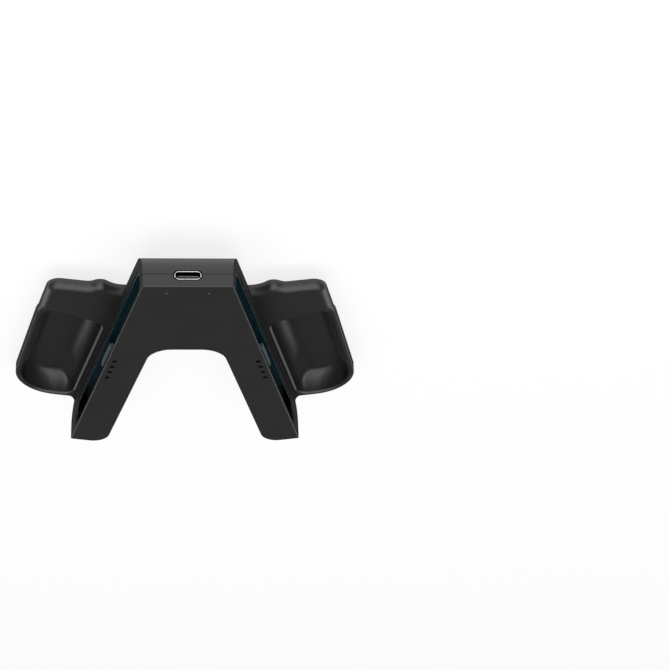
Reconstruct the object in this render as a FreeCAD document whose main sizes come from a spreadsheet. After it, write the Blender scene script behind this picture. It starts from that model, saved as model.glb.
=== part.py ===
"""Controller charging grip: a crown with a charging port, two splayed legs with a slot for a
controller in each outer side, and a hollow palm wing behind each slot.

Millimetres. The grip lies on the backs of its palm wings: +X right, +Y towards the charging port,
+Z out of the front face, origin below the middle of the whole.
Places are given as a drop (down from the port end) and a depth (behind the front face). On a leg
they are along (down the outer edge), out (sideways from that edge) and depth.
"""
import FreeCAD
import Part

import math
import os

from FreeCAD import Placement, Rotation, Vector

# Driving dimensions, in millimetres and degrees
SIZES = {
    # outline of the body
    "crown_width": 29.5,
    "splay": 13.6,
    "leg_length": 114.3,
    "leg_width": 12.95,
    "arch_drop": 43.2,
    "arch_round": 9.0,
    "foot_corner": 6.0,
    # depth of the body
    "body_depth": 15.0,
    "front_depth": 4.9,
    "back_land": 0.1,
    "back_edge": 0.9,
    "front_edge": 0.4,
    "wall": 2.0,
    "foot_block": 12.0,
    "centre_overlap": 1.0,
    # slot in the outer side of each leg
    "slot_top": 4.4,
    "slot_foot": 8.3,
    "slot_front": 1.1,
    "slot_back": 10.2,
    "slot_round": 5.2,
    "slot_corner": 0.9,
    "slot_depth": 3.2,
    "rail_floor": 1.0,
    "rail_wall": 0.8,
    "rail_recess": 0.4,
    "fit": 0.1,
    # palm wing
    "wing_plate": 3.4,
    "wing_proud": 2.0,
    "wing_width": 25.7,
    "wing_taper": 1.1,
    "wing_foot": 6.75,
    "wing_corner": 17.0,
    "wing_root": 5.0,
    "wing_bury": 0.3,
    "wing_web": 2.4,
    "shelf_root_drop": 28.0,
    "shelf_end_drop": 22.9,
    "shelf_corner": 4.5,
    "shelf_roll": 3.0,
    "shelf_set_back": 0.5,
    "shelf_overlap": 10.0,
    "wave_start": 2.6,
    "wave_start_round": 8.0,
    "wave_crest": 8.0,
    "wave_crest_drop": 23.4,
    "wave_crest_round": 3.4,
    "wave_dip": 11.5,
    "wave_dip_drop": 25.7,
    "wave_dip_round": 3.5,
    "shoulder": 42.2,
    "shoulder_round": 8.5,
    "rim": 1.7,
    "rim_bottom": 2.1,
    "rim_edge": 0.5,
    "pocket_top": 51.9,
    "pocket_slant": 7.0,
    "pocket_depth": 7.5,
    "pocket_round": 6.5,
    "pocket_corner": 4.0,
    "pocket_heel": 14.5,
    "pocket_sharpest": 1.2,
    "palm_lip": 0.3,
    "palm_wall": 2.0,
    # charging port
    "port_width": 8.94,
    "port_height": 3.2,
    "port_length": 7.35,
    "port_skin": 0.32,
    "port_depth": 4.35,
    "port_gap": 0.35,
    "port_flat": 0.2,
    "port_tongue_width": 6.7,
    "port_tongue_height": 0.7,
    "port_tongue_length": 4.6,
    "port_back_wall": 1.4,
    "port_fit": 0.025,
    "port_contact_width": 0.28,
    "port_contact_pitch": 0.5,
    "port_contact_length": 3.7,
    "port_contact_skin": 0.06,
    # main board
    "board_width": 18.4,
    "board_length": 33.0,
    "board_thickness": 1.2,
    "board_post_drop": 30.0,
    "board_post_out": 6.5,
    "board_post_width": 4.4,
    "chip_height": 0.9,
    "control_chip": 5.0,
    "control_chip_drop": 13.0,
    "charge_chip": 3.6,
    "charge_chip_drop": 20.0,
    "charge_chip_out": 3.8,
    "coil": 4.2,
    "coil_height": 1.8,
    # charge lights
    "led_spacing": 13.9,
    "led_drop": 4.6,
    "led_length": 1.6,
    "led_width": 0.8,
    "led_height": 0.6,
    "pipe_width": 1.0,
    "pipe_flange": 2.2,
    # player lights
    "light_pitch": 4.03,
    "light_width": 1.7,
    "light_inset": 2.5,
    "light_recess": 0.7,
    "light_bar_width": 2.0,
    "light_bar_height": 0.8,
    "light_bar_end": 1.6,
    # connector in each slot
    "plug_foot": 55.9,
    "plug_length": 13.8,
    "plug_thickness": 2.4,
    "plug_recess": 0.65,
    "plug_corner": 0.6,
    "plug_gap": 0.15,
    "plug_contact_width": 0.7,
    "plug_contact_pitch": 1.5,
    "plug_contact_skin": 0.12,
    "plug_contact_set_back": 0.3,
    "side_board_length": 26.0,
    "side_board_width": 6.4,
    "side_board_thickness": 1.0,
    # magnets behind each rail
    "magnet_length": 10.0,
    "magnet_width": 4.0,
    "magnet_thickness": 2.6,
    "upper_magnet_along": 25.0,
    # ribbon cables
    "ribbon_width": 4.0,
    "ribbon_thickness": 0.3,
    "ribbon_drop": 27.0,
    "ribbon_landing": 4.0,
    "ribbon_inset": 2.0,
    "ribbon_overlap": 6.0,
    # screws
    "screw_width": 2.0,
    "screw_head_width": 3.8,
    "screw_head_height": 1.8,
    "head_gap": 0.4,
    "screw_seat": 11.0,
    "screw_tip": 2.6,
    "post_width": 5.6,
    "post_inset": 7.9,
    "crown_post_out": 9.0,
    "crown_post_drop": 38.6,
    "mid_post_foot": 38.8,
    "low_post_foot": 16.8,
    "driver_length": 1.8,
    "driver_width": 0.5,
    "driver_depth": 0.5,
    "board_screw_width": 1.6,
    "board_screw_head": 3.0,
    "board_screw_head_height": 1.0,
    "board_screw_length": 3.2,
}
# Sizes that follow the body's depth and the leg's length, as formulas of the sheet
FORMULAS = {
    "back_round": "body_depth - front_depth - back_land",
    "wing_depth": "body_depth - wing_plate + wing_proud",
    "slot_bottom": "leg_length - slot_foot",
    "plug_along": "leg_length - plug_foot",
    "wing_bottom": "leg_length - wing_foot",
    "mid_post_along": "leg_length - mid_post_foot",
    "low_post_along": "leg_length - low_post_foot",
    "lower_magnet_along": "(mid_post_along + low_post_along) / 2",
}
LIGHT_COUNT = 4
PLUG_CONTACT_COUNT = 8
PORT_CONTACT_COUNT = 12
# Palm rest: outlines in the loft, the share of a quarter turn that its wall sweeps, and how much
# faster than the outline its corners tighten
BOWL_STEPS = 4
BOWL_SWEEP = 80.0
BOWL_TIGHTEN = 1.5

doc = FreeCAD.newDocument("charging_grip")
sheet = doc.addObject("Spreadsheet::Sheet", "sizes")
cells = [(alias, str(value)) for alias, value in SIZES.items()]
cells += [(alias, "=" + formula) for alias, formula in FORMULAS.items()]
for row, (alias, content) in enumerate(cells, start=1):
    sheet.set(f"A{row}", alias)
    sheet.set(f"B{row}", content)
    sheet.setAlias(f"B{row}", alias)
doc.recompute()


class Sizes:
    """The cells of the sheet, read by name."""

    def __getattr__(self, alias):
        return float(getattr(sheet, alias))


d = Sizes()

# Sizes that follow from the driving ones
splay = math.radians(d.splay)
slot_floor = d.slot_depth + d.rail_floor
board_front = d.port_depth + d.port_height / 2
board_back = board_front + d.board_thickness
board_top = d.wall + d.port_gap
front_z = d.wing_depth + d.pocket_depth + d.palm_wall
foot_low = (
    (d.leg_length - d.foot_corner) * math.cos(splay)
    + (d.leg_width - d.foot_corner) * math.sin(splay)
    + d.foot_corner
)
body_frame = Placement(Vector(0, foot_low / 2, front_z), Rotation())
leg_frame = body_frame * Placement(
    Vector(d.crown_width / 2, 0, 0), Rotation(Vector(0, 0, 1), d.splay)
)
finished = []


def on_leg(along, out):
    """A point of the leg, as x and y in the body's frame."""
    x = d.crown_width / 2 + along * math.sin(splay) + out * math.cos(splay)
    y = -along * math.cos(splay) + out * math.sin(splay)
    return x, y


def leg_place(point):
    """A point of the body's frame as along and out on the leg."""
    x = point.x - d.crown_width / 2
    along = x * math.sin(splay) - point.y * math.cos(splay)
    out = x * math.cos(splay) + point.y * math.sin(splay)
    return along, out


def meet(start_a, end_a, start_b, end_b):
    """The point where two lines cross."""
    ax, ay = end_a[0] - start_a[0], end_a[1] - start_a[1]
    bx, by = end_b[0] - start_b[0], end_b[1] - start_b[1]
    share = ((start_b[0] - start_a[0]) * by - (start_b[1] - start_a[1]) * bx) / (ax * by - ay * bx)
    return start_a[0] + share * ax, start_a[1] + share * ay


def inset(corners, distances):
    """The outline (x, y, radius) with each side moved inwards by its own distance."""
    count = len(corners)
    area = sum(
        a[0] * b[1] - b[0] * a[1] for a, b in zip(corners, corners[1:] + corners[:1])
    )
    turn = 1 if area > 0 else -1
    sides = []
    for i, distance in enumerate(distances):
        a = corners[i]
        b = corners[(i + 1) % count]
        length = math.hypot(b[0] - a[0], b[1] - a[1])
        shift_x = -turn * (b[1] - a[1]) / length * distance
        shift_y = turn * (b[0] - a[0]) / length * distance
        sides.append(((a[0] + shift_x, a[1] + shift_y), (b[0] + shift_x, b[1] + shift_y)))
    moved = []
    for i in range(count):
        x, y = meet(*sides[i - 1], *sides[i])
        moved.append((x, y, corners[i][2]))
    return moved


def rounded(corners):
    """Lines and arcs of a closed outline, each corner (x, y, radius) rounded by its radius."""
    count = len(corners)
    joints = []
    for i, (x, y, radius) in enumerate(corners):
        here = Vector(x, y, 0)
        back = (Vector(*corners[i - 1][:2], 0) - here).normalize()
        ahead = (Vector(*corners[(i + 1) % count][:2], 0) - here).normalize()
        if radius == 0:
            joints.append((here, None, here))
            continue
        half = back.getAngle(ahead) / 2
        reach = radius / math.tan(half)
        bisector = (back + ahead).normalize()
        middle = here + bisector * (radius / math.sin(half) - radius)
        joints.append((here + back * reach, middle, here + ahead * reach))
    edges = []
    for i, (start, middle, end) in enumerate(joints):
        if middle is not None:
            edges.append(Part.Arc(start, middle, end))
        edges.append(Part.LineSegment(end, joints[(i + 1) % count][0]))
    return edges


def sketch(body, name, role, offset, edges):
    """A sketch on one of the body's own origin planes."""
    made = body.newObject("Sketcher::SketchObject", name)
    plane = next(f for f in body.Origin.OriginFeatures if f.Role == role)
    made.AttachmentSupport = [(plane, "")]
    made.MapMode = "FlatFace"
    made.AttachmentOffset = offset
    for edge in edges:
        made.addGeometry(edge)
    return made


def behind(depth):
    """Offset of a sketch on the front plane to a depth behind the front face."""
    return Placement(Vector(0, 0, -depth), Rotation())


def beside_leg(out):
    """Offset of a sketch on the side plane to the leg's outer side, moved out by a distance."""
    turn = Rotation(Vector(0, 1, 0), d.splay)
    corner = Vector(0, 0, d.crown_width / 2)
    return Placement(corner + turn.multVec(Vector(0, 0, out)), turn)


def circles(places, width):
    return [Part.Circle(Vector(x, y, 0), Vector(0, 0, 1), width / 2) for x, y in places]


def pad(body, name, profile, length, forward=False):
    made = body.newObject("PartDesign::Pad", name)
    made.Profile = profile
    made.setExpression("Length", length)
    made.Reversed = not forward
    return made


def pocket(body, name, profile, length=None, forward=False):
    """A cut from the sketch into the solid, through all of it where no length is given."""
    made = body.newObject("PartDesign::Pocket", name)
    made.Profile = profile
    if length is None:
        made.Type = "ThroughAll"
    else:
        made.setExpression("Length", length)
    made.Reversed = forward
    doc.recompute()
    before = made.BaseFeature.Shape.Volume
    if made.Shape.isNull() or made.Shape.Volume >= before:
        raise RuntimeError(f"{name} cuts nothing")
    return made


def fillet(body, name, radius, wanted):
    """Round the edges of the body's last feature that the test picks."""
    doc.recompute()
    base = body.Tip
    names = [f"Edge{i}" for i, edge in enumerate(base.Shape.Edges, start=1) if wanted(edge)]
    made = body.newObject("PartDesign::Fillet", name)
    made.Base = (base, names)
    made.setExpression("Radius", radius)
    doc.recompute()
    return made


def chamfer(body, name, size, wanted):
    """Bevel the edges of the body's last feature that the test picks."""
    doc.recompute()
    base = body.Tip
    names = [f"Edge{i}" for i, edge in enumerate(base.Shape.Edges, start=1) if wanted(edge)]
    made = body.newObject("PartDesign::Chamfer", name)
    made.Base = (base, names)
    made.setExpression("Size", size)
    doc.recompute()
    return made


def near(value, target):
    return abs(value - target) < 1e-4


def at_depth(edge, depth):
    """Whether the whole edge lies at one depth behind the front face."""
    return near(edge.BoundBox.ZMin, -depth) and near(edge.BoundBox.ZMax, -depth)


def body_at(name, frame):
    made = doc.addObject("PartDesign::Body", name)
    made.Placement = frame
    return made


def finish(part, label):
    part.Label = label
    finished.append(part)
    return part


def mirrored(part, name):
    """The same piece on the other side of the grip."""
    made = doc.addObject("Part::Mirroring", name)
    made.Source = part
    made.Base = Vector(0, 0, 0)
    made.Normal = Vector(1, 0, 0)
    return made


def whole(half, name):
    """A half and its mirror image as one solid."""
    made = doc.addObject("Part::Fuse", name)
    made.Base = half
    made.Tool = mirrored(half, name + "_other_half")
    made.Refine = True
    return finish(made, name)


def pair(part, name):
    """The right-hand piece, and the left-hand one made as its mirror image."""
    finish(part, "right_" + name)
    finish(mirrored(part, "left_" + name), "left_" + name)


def group(parts, name):
    made = doc.addObject("Part::Compound", name)
    made.Links = parts
    return made


def block(name, frame, low, lengths):
    """A box from its low corner in a frame, its three lengths written as expressions."""
    made = doc.addObject("Part::Box", name)
    for side, length in zip(("Length", "Width", "Height"), lengths):
        made.setExpression(side, length)
    made.Placement = frame * Placement(Vector(*low), Rotation())
    return made


def rod(name, frame, foot, width, height):
    """A round rod standing on its foot point, pointing out of the front."""
    made = doc.addObject("Part::Cylinder", name)
    made.setExpression("Radius", f"({width}) / 2")
    made.setExpression("Height", height)
    made.Placement = frame * Placement(Vector(*foot), Rotation())
    return made


def join(base, tool, name):
    made = doc.addObject("Part::Fuse", name)
    made.Base = base
    made.Tool = tool
    made.Refine = True
    return made


def cut(base, tool, name):
    made = doc.addObject("Part::Cut", name)
    made.Base = base
    made.Tool = tool
    return made


# Outlines that several pieces share
inner_leg = (on_leg(0, -d.leg_width), on_leg(d.leg_length, -d.leg_width))
arch_corner = meet(*inner_leg, (0, -d.arch_drop), (1, -d.arch_drop))
body_outline = [
    (0, 0, 0),
    (d.crown_width / 2, 0, 0),
    (*on_leg(d.leg_length, 0), 0),
    (*on_leg(d.leg_length, -d.leg_width), d.foot_corner),
    (*arch_corner, d.arch_round),
    (0, -d.arch_drop, 0),
]
cavity_outline = inset(
    body_outline,
    (d.wall, slot_floor - d.fit, d.foot_block, d.wall, d.wall, -d.centre_overlap),
)
cavity_outline = [(x, y, min(radius, d.wall)) for x, y, radius in cavity_outline]
slot_outline = [
    (-d.slot_top, -d.slot_front, d.slot_corner),
    (-d.slot_top, -d.slot_back, d.slot_round),
    (-d.slot_bottom, -d.slot_back, d.slot_round),
    (-d.slot_bottom, -d.slot_front, d.slot_corner),
]
cover_posts = [
    (d.crown_post_out, -d.crown_post_drop),
    on_leg(d.mid_post_along, -d.post_inset),
    on_leg(d.low_post_along, -d.post_inset),
]
board_post = (d.board_post_out, -d.board_post_drop)
led_place = (d.led_spacing / 2, -d.led_drop)
light_places = [
    (-d.light_inset, -d.plug_along + d.light_pitch * (i - (LIGHT_COUNT - 1) / 2))
    for i in range(LIGHT_COUNT)
]


def port_slot(grow):
    """The port's rounded slot shape as seen from the port end."""
    width = d.port_width / 2 + grow
    height = d.port_height / 2 + grow
    radius = height - d.port_flat / 2
    return [
        (-width, -d.port_depth + height, radius),
        (width, -d.port_depth + height, radius),
        (width, -d.port_depth - height, radius),
        (-width, -d.port_depth - height, radius),
    ]


def port_opening(body):
    """The hole for the charging port through the wall at the port end."""
    profile = sketch(
        body, body.Name + "_port_outline", "XZ_Plane", Placement(), rounded(port_slot(d.port_gap))
    )
    pocket(
        body, body.Name + "_port_opening", profile, "sizes.wall + sizes.port_gap", forward=True
    )


# Front cover: flat front, side walls down to the parting line, posts for the screws
front = body_at("front_cover_half", body_frame)
front_profile = sketch(front, "front_outline", "XY_Plane", behind(0), rounded(body_outline))
pad(front, "front_block", front_profile, "sizes.front_depth")
fillet(
    front, "front_edges", "sizes.front_edge",
    lambda edge: at_depth(edge, 0) and not near(edge.BoundBox.XMax, 0),
)
front_hollow = sketch(
    front, "front_hollow", "XY_Plane", behind(d.front_depth), rounded(cavity_outline)
)
pocket(front, "front_cavity", front_hollow, "sizes.front_depth - sizes.wall", forward=True)
front_slot = sketch(front, "front_slot", "YZ_Plane", beside_leg(0), rounded(slot_outline))
pocket(front, "front_slot_cut", front_slot, "sizes.slot_depth + sizes.rail_floor + sizes.fit")
port_opening(front)
front_posts = sketch(
    front, "front_posts", "XY_Plane", behind(d.wall / 2), circles(cover_posts, d.post_width)
)
pad(front, "front_post_pads", front_posts, "sizes.front_depth - sizes.wall / 2")
front_board_post = sketch(
    front, "front_board_post", "XY_Plane", behind(d.wall / 2),
    circles([board_post], d.board_post_width),
)
pad(
    front, "front_board_pad", front_board_post,
    "sizes.port_depth + sizes.port_height / 2 - sizes.wall / 2",
)
front_pilots = sketch(
    front, "front_pilots", "XY_Plane", behind(d.front_depth),
    circles(cover_posts, d.screw_width + d.fit),
)
pocket(
    front, "front_pilot_holes", front_pilots,
    "sizes.front_depth - sizes.screw_tip + sizes.fit", forward=True,
)
front_board_pilot = sketch(
    front, "front_board_pilot", "XY_Plane", behind(board_front),
    circles([board_post], d.board_screw_width + d.fit),
)
pocket(
    front, "front_board_hole", front_board_pilot, "sizes.board_screw_length", forward=True
)
front_pinhole = sketch(
    front, "front_pinhole", "XY_Plane", behind(0), circles([led_place], d.pipe_width + d.fit)
)
pocket(front, "front_pinhole_cut", front_pinhole, "sizes.wall + sizes.fit")
front_lights = sketch(
    front, "front_lights", "XY_Plane", behind(0),
    circles([on_leg(-along, out) for out, along in light_places], d.light_width + d.fit),
)
pocket(front, "front_light_holes", front_lights, "sizes.slot_front + sizes.fit")
whole(front, "front_cover")

# Rear cover, body: rounded port end and feet, a cavity for the boards, and posts for the screws
rear = body_at("rear_body_half", body_frame)
rear_profile = sketch(
    rear, "rear_outline", "XY_Plane", behind(d.front_depth), rounded(body_outline)
)
pad(rear, "rear_block", rear_profile, "sizes.body_depth - sizes.front_depth")
fillet(
    rear, "rear_edges", "sizes.back_edge",
    lambda edge: at_depth(edge, d.body_depth)
    and (near(edge.BoundBox.YMin, -d.arch_drop) or near(edge.Length, d.leg_length)),
)

rear_hollow = sketch(
    rear, "rear_hollow", "XY_Plane", behind(d.front_depth), rounded(cavity_outline)
)
pocket(
    rear, "rear_cavity", rear_hollow, "sizes.body_depth - sizes.front_depth - sizes.wall"
)
fillet(
    rear, "rear_cavity_round", "sizes.back_round - sizes.wall",
    lambda edge: at_depth(edge, d.body_depth - d.wall)
    and near(edge.BoundBox.YMax, -d.wall) and near(edge.BoundBox.YMin, -d.wall),
)


def corner_round(end, outward):
    """Section of what is taken off to round the back edge at one end of the body."""
    beyond = d.wall
    back = -d.body_depth
    slant = d.back_round * (1 - math.sqrt(0.5))
    upper = Vector(end, back + d.back_round, 0)
    lower = Vector(end - outward * d.back_round, back, 0)
    middle = Vector(end - outward * slant, back + slant, 0)
    corners = [
        lower,
        Vector(lower.x, back - beyond, 0),
        Vector(end + outward * beyond, back - beyond, 0),
        Vector(end + outward * beyond, upper.y, 0),
        upper,
    ]
    edges = [Part.LineSegment(a, b) for a, b in zip(corners, corners[1:])]
    return edges + [Part.Arc(upper, middle, lower)]


rear_top = sketch(
    rear, "rear_top", "YZ_Plane", Placement(Vector(0, 0, -d.centre_overlap), Rotation()),
    corner_round(0, 1),
)
pocket(rear, "rear_top_round", rear_top, forward=True)
rear_foot = sketch(
    rear, "rear_foot", "YZ_Plane", beside_leg(d.centre_overlap), corner_round(-d.leg_length, -1)
)
pocket(rear, "rear_foot_round", rear_foot)
rear_slot = sketch(rear, "rear_slot", "YZ_Plane", beside_leg(0), rounded(slot_outline))
pocket(rear, "rear_slot_cut", rear_slot, "sizes.slot_depth + sizes.rail_floor + sizes.fit")
port_opening(rear)
rear_posts = sketch(
    rear, "rear_posts", "XY_Plane", behind(d.front_depth), circles(cover_posts, d.post_width)
)
pad(
    rear, "rear_post_pads", rear_posts,
    "sizes.body_depth - sizes.front_depth - sizes.wall / 2",
)
rear_holes = sketch(
    rear, "rear_holes", "XY_Plane", behind(d.front_depth),
    circles(cover_posts, d.screw_width + 2 * d.fit),
)
pocket(rear, "rear_screw_holes", rear_holes)
rear_recess = sketch(
    rear, "rear_recess", "XY_Plane", behind(d.body_depth),
    circles(cover_posts, d.screw_head_width + d.head_gap),
)
pocket(
    rear, "rear_screw_recess", rear_recess, "sizes.body_depth - sizes.screw_seat", forward=True
)


def at_drop(out, drop):
    """The point at a drop below the port end that lies out from the leg's outer edge."""
    return d.crown_width / 2 + (out + drop * math.sin(splay)) / math.cos(splay), -drop


# Rear cover, palm wing: a shelf with a rolled top edge over a hollow palm rest. Its depths are
# counted from the front of the wing.
shelf_width = d.wing_width - d.shelf_set_back
shelf_end = d.shoulder + d.shelf_overlap
shelf_outline = [
    (*at_drop(-d.wing_root, d.shelf_root_drop), 0),
    (*at_drop(d.wave_start, d.shelf_root_drop), d.wave_start_round),
    (*at_drop(d.wave_crest, d.wave_crest_drop), d.wave_crest_round),
    (*at_drop(d.wave_dip, d.wave_dip_drop), d.wave_dip_round),
    (*at_drop(shelf_width, d.shelf_end_drop), d.shelf_corner),
    (*on_leg(shelf_end, shelf_width), 0),
    (*on_leg(shelf_end, -d.wing_root), 0),
]
palm_outline = [
    (*on_leg(d.shoulder, -d.wing_root), 0),
    (*on_leg(d.shoulder, d.wing_width), d.shoulder_round),
    (*on_leg(d.wing_bottom, d.wing_width - d.wing_taper), d.wing_corner),
    (*on_leg(d.wing_bottom, -d.wing_root), 0),
]
web_end = d.wing_web + d.fit
web_outline = [
    (*on_leg(d.wing_bottom - d.wing_bury, web_end), 0),
    (*on_leg(d.wing_bottom, web_end), 0),
    (*on_leg(d.wing_bottom, 0), d.wing_web),
    (*on_leg(d.wing_bottom + web_end, 0), 0),
    (*on_leg(d.wing_bottom + web_end, -d.wing_bury), 0),
    (*on_leg(d.wing_bottom - d.wing_bury, -d.wing_bury), 0),
]
pocket_bottom = d.wing_bottom - d.rim_bottom
pocket_width = d.wing_width - d.rim
pocket_outline = [
    (*on_leg(d.pocket_top, d.rim), d.pocket_corner),
    (*on_leg(d.pocket_top - d.pocket_slant, pocket_width), d.pocket_corner),
    (*on_leg(pocket_bottom, pocket_width - d.wing_taper), d.pocket_heel),
    (*on_leg(pocket_bottom, d.rim), d.pocket_corner),
]


def bowl(body, name, kind, grow, depth, rise):
    """A loft through ever smaller outlines, like a bowl with a flat bottom."""
    rings = []
    for step in range(BOWL_STEPS + 1):
        angle = math.radians(BOWL_SWEEP * step / BOWL_STEPS)
        narrow = d.pocket_round * (1 - math.cos(angle)) - grow
        level = rise + (depth - rise) * math.sin(angle) / math.sin(math.radians(BOWL_SWEEP))
        ring = inset(pocket_outline, [narrow] * len(pocket_outline))
        tighten = narrow * (BOWL_TIGHTEN if narrow > 0 else 1)
        ring = [(x, y, max(radius - tighten, d.pocket_sharpest)) for x, y, radius in ring]
        rings.append(sketch(
            body, f"{name}_ring_{step}", "XY_Plane", behind(level), rounded(ring)
        ))
    made = body.newObject(kind, name)
    made.Profile = rings[0]
    made.Sections = rings[1:]
    doc.recompute()
    return made


wing = body_at("palm_wing", body_frame * behind(d.wing_depth))
shelf = sketch(wing, "shelf_outline", "XY_Plane", behind(0), rounded(shelf_outline))
pad(wing, "shelf", shelf, "sizes.wing_plate")
fillet(
    wing, "shelf_top_roll", "sizes.shelf_roll",
    lambda edge: at_depth(edge, 0)
    and near(edge.BoundBox.YMin, -d.shelf_root_drop)
    and near(edge.BoundBox.YMax, -d.shelf_root_drop),
)
palm = sketch(wing, "palm_outline", "XY_Plane", behind(0), rounded(palm_outline))
pad(wing, "palm_plate", palm, "sizes.wing_plate")
chamfer(
    wing, "outer_rim_edge", "sizes.rim_edge",
    lambda edge: at_depth(edge, 0) and edge.Length > d.wing_width
    and leg_place(edge.CenterOfMass)[1] > d.wing_width / 2,
)
chamfer(
    wing, "root_ramp", "sizes.wing_proud + sizes.wing_bury",
    lambda edge: at_depth(edge, d.wing_plate)
    and near(leg_place(edge.CenterOfMass)[1], -d.wing_root),
)
bowl(wing, "palm_bulge", "PartDesign::AdditiveLoft", d.rim - d.palm_lip,
     d.pocket_depth + d.palm_wall, d.wing_plate / 2)
bowl(wing, "palm_pocket", "PartDesign::SubtractiveLoft", 0, d.pocket_depth, -d.wall)


def around_pocket(edge):
    """Whether an edge is one of those where the pocket breaks through the rim."""
    along, out = leg_place(edge.CenterOfMass)
    inside = d.rim / 2 < out < d.wing_width - d.rim / 2 and d.shoulder < along < d.wing_bottom
    return inside and at_depth(edge, 0)


chamfer(wing, "pocket_rim_edge", "sizes.rim_edge", around_pocket)
web = sketch(wing, "web_outline", "XY_Plane", behind(d.rim_edge), rounded(web_outline))
pad(wing, "leg_web", web, "sizes.wing_plate / 2")
whole(join(rear, wing, "rear_cover_half"), "rear_cover")

# Rails: glossy trays that line the slots, with a hole for the connector and one for the lights
plug_depth = (d.slot_front + d.slot_back) / 2
light_bar_length = d.light_pitch * (LIGHT_COUNT - 1) + 2 * d.light_bar_end


def rectangle(centre_x, centre_y, width, height, radius=0):
    return [
        (centre_x - width / 2, centre_y - height / 2, radius),
        (centre_x + width / 2, centre_y - height / 2, radius),
        (centre_x + width / 2, centre_y + height / 2, radius),
        (centre_x - width / 2, centre_y + height / 2, radius),
    ]


def out_from_leg(out):
    """Offset of a sketch on a leg piece's own side plane."""
    return Placement(Vector(0, 0, out), Rotation())


rail = body_at("right_rail", leg_frame)
rail_outline = inset(slot_outline, [d.fit] * len(slot_outline))
rail_profile = sketch(
    rail, "rail_outline", "YZ_Plane", out_from_leg(-d.rail_recess), rounded(rail_outline)
)
pad(rail, "rail_block", rail_profile, "sizes.slot_depth + sizes.rail_floor - sizes.rail_recess")
rail_inside = inset(rail_outline, [d.rail_wall] * len(rail_outline))
rail_inside = [(x, y, max(radius - d.rail_wall, d.fit)) for x, y, radius in rail_inside]
rail_hollow = sketch(
    rail, "rail_hollow", "YZ_Plane", out_from_leg(-d.rail_recess), rounded(rail_inside)
)
pocket(rail, "rail_channel", rail_hollow, "sizes.slot_depth - sizes.rail_recess")
rail_plug = sketch(
    rail, "rail_plug", "YZ_Plane", out_from_leg(-d.slot_depth),
    rounded(rectangle(
        -d.plug_along, -plug_depth, d.plug_length + 2 * d.plug_gap,
        d.plug_thickness + 2 * d.plug_gap,
    )),
)
pocket(rail, "rail_plug_hole", rail_plug)
rail_light = sketch(
    rail, "rail_light", "XY_Plane", behind(0),
    rounded(rectangle(
        -d.light_inset, -d.plug_along, d.light_bar_width + 2 * d.fit, light_bar_length + 2 * d.fit
    )),
)
pocket(rail, "rail_light_hole", rail_light, "sizes.slot_front + 2 * sizes.rail_wall")
pair(rail, "rail")

# Connector tongues with their contacts, on a side board behind each rail
plug = body_at("right_connector_tongue", leg_frame)
plug_profile = sketch(
    plug, "plug_outline", "YZ_Plane", out_from_leg(-slot_floor),
    rounded(rectangle(
        -d.plug_along, -plug_depth, d.plug_length, d.plug_thickness, d.plug_corner
    )),
)
pad(
    plug, "plug_block", plug_profile,
    "sizes.slot_depth + sizes.rail_floor - sizes.plug_recess", forward=True,
)
pair(plug, "connector_tongue")
plug_contacts = []
for i in range(PLUG_CONTACT_COUNT):
    middle = -d.plug_along + d.plug_contact_pitch * (i - (PLUG_CONTACT_COUNT - 1) / 2)
    plug_contacts.append(block(
        f"plug_contact_{i}", leg_frame,
        (-d.slot_depth + d.fit, middle - d.plug_contact_width / 2,
         -plug_depth + d.plug_thickness / 2),
        ("sizes.slot_depth - sizes.plug_recess - sizes.fit - sizes.plug_contact_set_back",
         "sizes.plug_contact_width", "sizes.plug_contact_skin"),
    ))
pair(group(plug_contacts, "right_connector_contacts"), "connector_contacts")
side_board = block(
    "right_side_board", leg_frame,
    (-slot_floor - d.side_board_thickness, -d.plug_along - d.side_board_length / 2,
     -plug_depth - d.side_board_width / 2),
    ("sizes.side_board_thickness", "sizes.side_board_length", "sizes.side_board_width"),
)
pair(side_board, "side_board")

# Magnets that hold the controllers, behind each rail
for place, along in (("upper", d.upper_magnet_along), ("lower", d.lower_magnet_along)):
    magnet = block(
        f"right_{place}_magnet", leg_frame,
        (-slot_floor - d.magnet_thickness, -along - d.magnet_length / 2,
         -plug_depth - d.magnet_width / 2),
        ("sizes.magnet_thickness", "sizes.magnet_length", "sizes.magnet_width"),
    )
    pair(magnet, f"{place}_magnet")

# Player light guides: a clear bar with one post in each light hole
guide = block(
    "light_bar", leg_frame,
    (-d.light_inset - d.light_bar_width / 2, -d.plug_along - light_bar_length / 2,
     -d.slot_front - d.light_bar_height),
    ("sizes.light_bar_width", f"sizes.light_pitch * {LIGHT_COUNT - 1} + 2 * sizes.light_bar_end",
     "sizes.light_bar_height"),
)
for i, (out, along) in enumerate(light_places):
    post = rod(
        f"light_post_{i}", leg_frame, (out, along, -d.slot_front - d.light_bar_height / 2),
        "sizes.light_width",
        "sizes.slot_front + sizes.light_bar_height / 2 - sizes.light_recess",
    )
    guide = join(guide, post, f"light_guide_{i}")
pair(guide, "player_light_guide")

# Main board with its chips, held on two posts of the front cover
board = block(
    "board_blank", body_frame,
    (-d.board_width / 2, -board_top - d.board_length, -board_back),
    ("sizes.board_width", "sizes.board_length", "sizes.board_thickness"),
)
board_holes = [
    rod(
        f"board_hole_{i}", body_frame, (side * board_post[0], board_post[1], -board_back - d.fit),
        "sizes.board_screw_width + 2 * sizes.fit", "sizes.board_thickness + 2 * sizes.fit",
    )
    for i, side in enumerate((-1, 1))
]
finish(cut(board, group(board_holes, "board_holes"), "main_board"), "main_board")


def chip(name, centre_x, drop, width, height):
    return block(
        name, body_frame,
        (centre_x - getattr(d, width) / 2, -drop - getattr(d, width) / 2,
         -board_back - getattr(d, height)),
        (f"sizes.{width}", f"sizes.{width}", f"sizes.{height}"),
    )


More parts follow.
